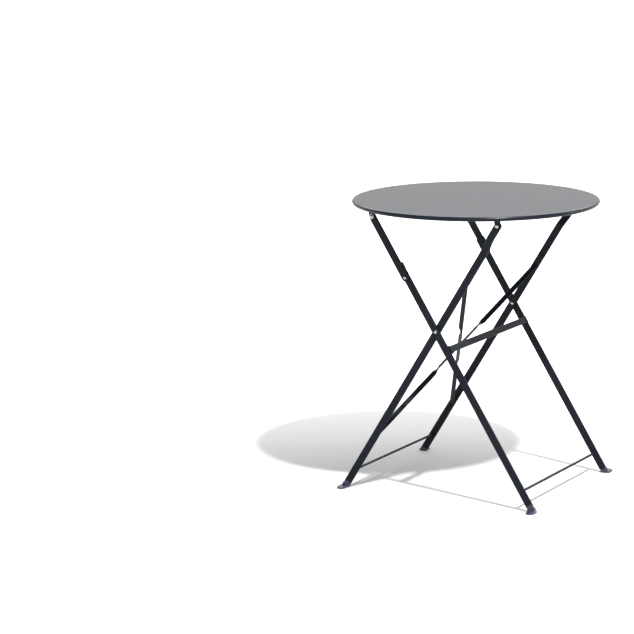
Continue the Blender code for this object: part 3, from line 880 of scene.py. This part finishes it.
def build_tail(node, matrix):
    radii, heights = turned_sizes(node, matrix)
    top, foot = heights.max(), heights.min()
    tail = radii.max()
    rim = heights[radii > tail * 0.98].max()
    pin = radii[(heights > top - HAIR) & (radii > AXIS_RADIUS)].min()
    profile = [(0, top), (pin, top), (pin, rim), (tail * 0.96, rim)]
    profile += [(tail, (rim + foot) / 2), (tail * 0.9, foot), (0, foot)]
    show_turned(node, lathe(profile), matrix)


def build_ring(node, matrix):
    radii, heights = turned_sizes(node, matrix)
    outer, bore = radii.max(), radii.min()
    low, high = heights.min(), heights.max()
    edge = (high - low) * 0.3
    profile = [(bore, high - edge), (bore + edge, high), (outer - edge, high), (outer, high - edge)]
    profile += [(outer, low + edge), (outer - edge, low), (bore + edge, low), (bore, low + edge)]
    show_turned(node, lathe(profile, closed=True), matrix)


def build_fasteners():
    knee = OUTER @ Vector((KNEE_ALONG, 0, 0))
    groups = {
        "left_rivet": (build_rivet, PIVOTS["front_link_hinge"]),
        "left_washer": (build_ring, PIVOTS["front_link_hinge"]),
        "right_rivet": (build_rivet, PIVOTS["top_hinge"]),
        "cross_rivet": (build_rivet, PIVOTS["leg_cross_pivot"]),
        "cross_spacer": (build_ring, PIVOTS["leg_cross_pivot"]),
        "knee_rivet": (build_rivet, knee),
        "knee_spacer": (build_ring, knee),
        "knee_rivet_tail": (build_tail, knee),
    }
    for name, (build, point) in groups.items():
        for label, side in SIDES.items():
            build(f"{name}_{label}", pivot_frame(point, side))


# Shoes


def build_shoe(node):
    """The moulded shoe: the CAD solid, remeshed and softened so that its corners are filleted."""
    mesh = NODES[node].data.copy()
    mesh.materials.clear()
    draft = bpy.data.objects.new(f"{node}_draft", mesh)
    bpy.context.scene.collection.objects.link(draft)
    remesh = draft.modifiers.new("remesh", "REMESH")
    remesh.mode = "VOXEL"
    remesh.voxel_size = SHOE_VOXEL
    remesh.adaptivity = 0.0
    soften = draft.modifiers.new("soften", "SMOOTH")
    soften.factor = 0.5
    soften.iterations = SHOE_SMOOTHING
    fewer = draft.modifiers.new("fewer", "DECIMATE")
    fewer.ratio = SHOE_FACES_KEPT
    bpy.context.view_layer.update()
    graph = bpy.context.evaluated_depsgraph_get()
    settled = bpy.data.meshes.new_from_object(draft.evaluated_get(graph))
    bpy.data.objects.remove(draft)
    low, _ = extent(node)
    for vertex in settled.vertices:
        vertex.co.z = max(vertex.co.z, low.z)
    settled.shade_smooth()
    show(f"{node}_moulding", settled, node, node)


def build_table():
    build_top()
    build_rail("hinge_rail_left")
    build_rail("hinge_rail_right")
    build_legs()
    build_links()
    build_crossbar()
    build_rod("inner_foot_rod")
    build_rod("outer_foot_rod")
    build_strap("brace_strap_a", STRAP_LEVEL)
    build_strap("brace_strap_b", -STRAP_LEVEL)
    build_fasteners()
    for frame_name in ("inner", "outer"):
        for label in SIDES:
            build_shoe(f"{frame_name}_shoe_{label}")


# The studio

CAMERA_TURN = math.radians(26.894)
CAMERA_RISE = math.radians(12.758)
CAMERA_DISTANCE = 6.3128
CAMERA_LENS = 145.77
CAMERA_SHIFT = (-0.2479, 0.1197)
CAMERA_AIM_RIGHT = -0.0044
CAMERA_AIM_HEIGHT = 0.2205
VIEW_BACK = (-math.sin(CAMERA_TURN), math.cos(CAMERA_TURN), 0)

# Azimuth, elevation, distance, (width, height) and watts. Each is aimed at the middle of the top.
LIGHTS = {
    "key_light": (-34, 55.8, 4.95, (0.20, 0.20), 300),
    "overhead_light": (0, 75, 1.9, (1.4, 1.4), 10),
    "side_light": (32, 9, 3.0, (0.4, 0.6), 7),
}

FLOOR_HALF = 60
FLOOR_DROP = 0.0004
FLOOR_DIMMED = 0.5
WORLD_STRENGTH = 0.61
# Sine of the elevation, and strength
GLOSSY_BEHIND = ((0.0, 0.80), (0.34, 0.84), (0.46, 4.5), (0.72, 4.5), (0.82, 0.10))
GLOSSY_FRONT = 0.20
GLOSSY_OVERHEAD = 0.08


def aim(thing, target):
    direction = target - thing.location
    thing.rotation_euler = direction.to_track_quat("-Z", "Y").to_euler()


def add_light(name, azimuth, elevation, distance, size, watts):
    data = bpy.data.lights.new(name, "AREA")
    data.shape = "RECTANGLE"
    data.size, data.size_y = size
    data.energy = watts
    light = bpy.data.objects.new(name, data)
    turn = math.radians(azimuth)
    rise = math.radians(elevation)
    towards = Vector((math.cos(rise) * math.cos(turn), math.cos(rise) * math.sin(turn), math.sin(rise)))
    target = Vector((0, 0, CAD_BOUNDS[1][2]))
    light.location = target + towards * distance
    bpy.context.scene.collection.objects.link(light)
    aim(light, target)


def add_camera():
    """Looks from the front right, a little above the top, with a long lens off its axis."""
    data = bpy.data.cameras.new("camera")
    data.lens = CAMERA_LENS
    data.sensor_width = 36
    data.shift_x, data.shift_y = CAMERA_SHIFT
    data.clip_end = 200
    camera = bpy.data.objects.new("camera", data)
    right = Vector((math.cos(CAMERA_TURN), math.sin(CAMERA_TURN), 0))
    away = -Vector(VIEW_BACK) * math.cos(CAMERA_RISE)
    away.z = math.sin(CAMERA_RISE)
    target = right * CAMERA_AIM_RIGHT + Vector((0, 0, CAMERA_AIM_HEIGHT))
    camera.location = target + away * CAMERA_DISTANCE
    bpy.context.scene.collection.objects.link(camera)
    aim(camera, target)
    bpy.context.scene.camera = camera


def floor_finish():
    """Pale and matt, with painted light: it glows brighter towards its back and far off. Dimmer in reflections,
    and clear from below.
    """
    s = Shader("pale_floor")
    cloud = s.ramp(s.noise(scale=1.5, detail=4.0), 0.3, 0.7)
    base = s.mix(cloud, (0.80, 0.80, 0.80), (0.82, 0.82, 0.82))
    base = s.mix(s.math("MULTIPLY", s.ray("Glossy"), FLOOR_DIMMED), base, (0.0, 0.0, 0.0))
    behind = s.dot(s.place, VIEW_BACK)
    around = s.add("VectorMath", {0: s.place}, operation="LENGTH").outputs["Value"]
    # Painted light: an emitted glow that rises towards the back and away from the table, lightening the back of
    # the table's shadow and keeping the far floor white.
    painted_glow = s.math("ADD", s.ramp(behind, 0.0, 1.1, to_high=0.5), s.ramp(around, 1.0, 2.6, to_high=0.6))
    from_below = s.add("NewGeometry").outputs["Backfacing"]
    return s.finish(
        Base_Color=base,
        Roughness=0.8,
        IOR=1.2,
        Emission_Color=(1.0, 1.0, 1.0),
        Emission_Strength=painted_glow,
        Alpha=s.math("SUBTRACT", 1.0, from_below),
    )


def add_floor():
    bm = bmesh.new()
    bmesh.ops.create_grid(bm, x_segments=8, y_segments=8, size=FLOOR_HALF)
    floor = bpy.data.objects.new("studio_floor", mesh_of(bm, "studio_floor"))
    floor.location = (0, 0, CAD_BOUNDS[0][2] - FLOOR_DROP)
    floor.data.materials.append(floor_finish())
    bpy.context.scene.collection.objects.link(floor)


def add_world():
    """Even light and a white background. Glossy surfaces see it bright behind the table, dark elsewhere."""
    world = bpy.data.worlds.new("studio")
    world.use_nodes = True
    n = Nodes(world.node_tree)
    direction = n.add("TexCoord").outputs["Generated"]
    height = n.height(direction)
    behind = n.ramp(n.dot(direction, VIEW_BACK), 0.35, 0.75)
    levels = n.add("ValToRGB", {"Fac": height})
    stops = levels.color_ramp.elements
    for index, (sine, level) in enumerate(GLOSSY_BEHIND):
        stop = stops[index] if index < len(stops) else stops.new(sine)
        stop.position = sine
        stop.color = (level, level, level, 1)
    elsewhere = n.ramp(height, 0.45, 0.05, GLOSSY_OVERHEAD, GLOSSY_FRONT)
    reflected = n.choose(behind, elsewhere, levels.outputs["Color"])
    lit = n.choose(n.ray("Glossy"), WORLD_STRENGTH, reflected)
    background = world.node_tree.nodes["Background"]
    n.put(background.inputs["Strength"], n.choose(n.ray("Camera"), lit, 1.0))
    n.put(background.inputs["Color"], (1, 1, 1))
    bpy.context.scene.world = world


def build_studio():
    add_floor()
    add_world()
    for name, settings in LIGHTS.items():
        add_light(name, *settings)
    add_camera()
    bpy.context.scene.view_settings.view_transform = "Standard"


build_table()
build_studio()
